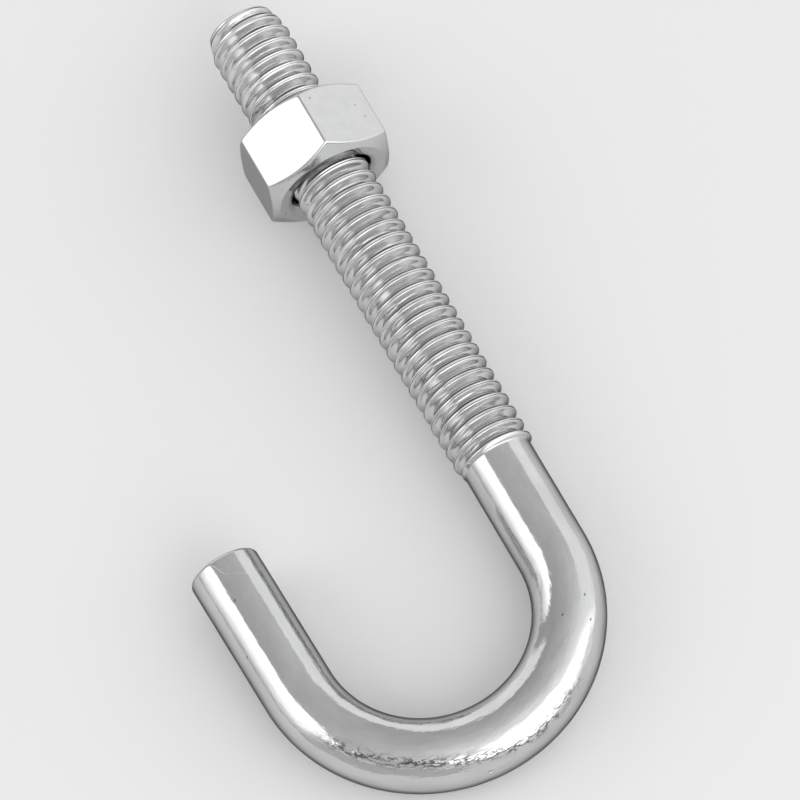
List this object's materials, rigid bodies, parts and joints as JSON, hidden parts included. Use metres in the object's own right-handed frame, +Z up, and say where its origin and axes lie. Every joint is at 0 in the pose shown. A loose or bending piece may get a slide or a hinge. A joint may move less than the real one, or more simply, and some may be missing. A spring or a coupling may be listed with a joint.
{
  "type": "hook bolt",
  "caption": "J-shaped hook bolt: a round zinc-plated rod with a half-circle hook, a threaded long leg and a hexagon nut that clamps along the thread.",
  "frame": {"origin": "middle of the footprint, on the surface that the bolt lies on", "axes": "+Z up; +Y along the long leg from the hook to the thread's end, which rises from the surface because the nut props it; +X from the short leg to the long leg"},
  "size_m": [0.0378, 0.0808, 0.015],
  "materials": {
    "zinc_plate": "bright zinc plate on steel",
    "zinc_plate_nut": "bright zinc plate on steel"
  },
  "bodies": {
    "bolt": {"hook_bolt": "zinc_plate"},
    "nut": {"hex_nut": "zinc_plate_nut"}
  },
  "joints": [
    {"name": "nut_travel", "type": "slide", "parent": "bolt", "child": "nut", "axis": [0, 0.998, 0.0638], "range_m": [-0.03025, 0.01985]}
  ]
}
